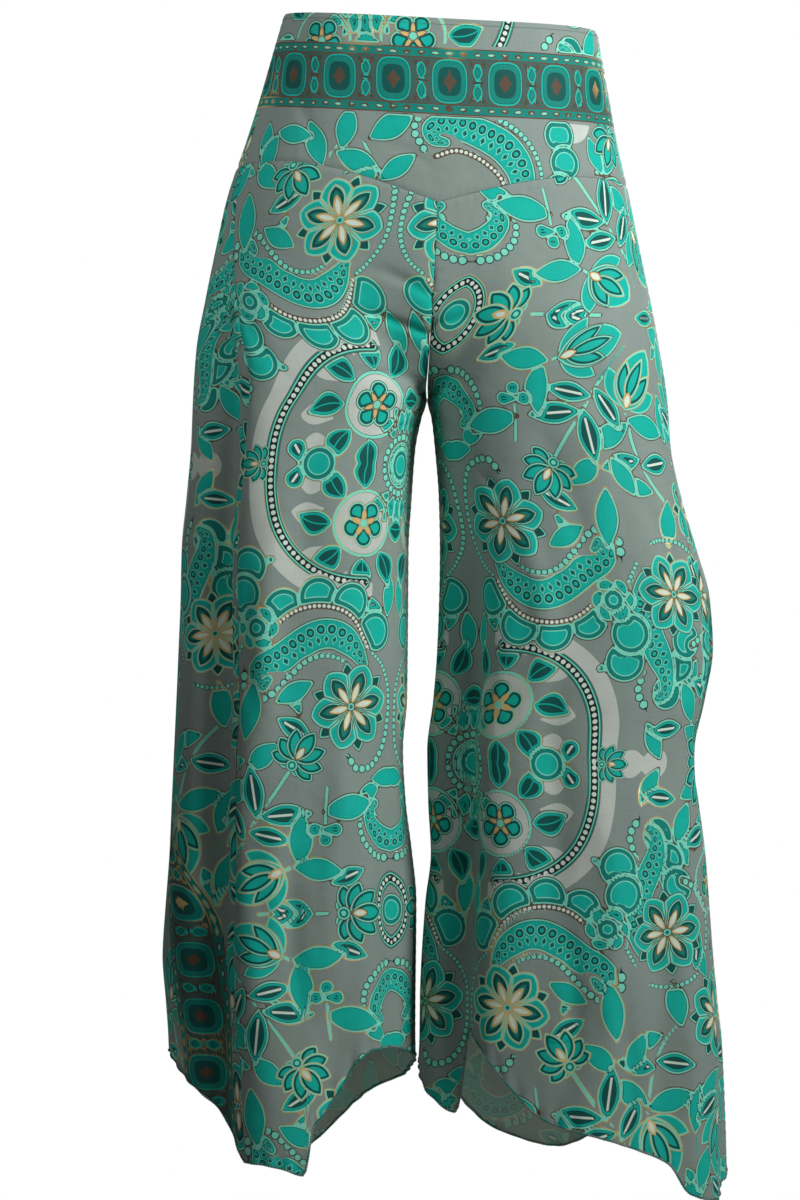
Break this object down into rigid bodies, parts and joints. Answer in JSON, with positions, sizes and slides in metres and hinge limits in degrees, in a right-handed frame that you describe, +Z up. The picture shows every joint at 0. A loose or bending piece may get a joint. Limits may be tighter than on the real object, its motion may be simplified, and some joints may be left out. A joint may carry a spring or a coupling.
{
  "type": "wide-leg trousers",
  "caption": "Wide-leg printed trousers in their worn, hollow form, with a shaped yoke at the waist and pointed handkerchief hems.",
  "frame": {"origin": "the middle of the waist opening, level with the top edge of the yoke, where the wearer's waist holds the garment", "axes": "+Z up, the front of the garment faces -Y, +X towards the wearer's left leg"},
  "size_m": [0.499, 0.2467, 1.0407],
  "materials": {
    "cloth": "grey viscose with a turquoise and green print and thin gold lines"
  },
  "bodies": {
    "root": {"yoke_front": "cloth", "yoke_back": "cloth", "leg_left_front": "cloth", "leg_left_back": "cloth", "leg_right_front": "cloth", "leg_right_back": "cloth"}
  },
  "joints": []
}
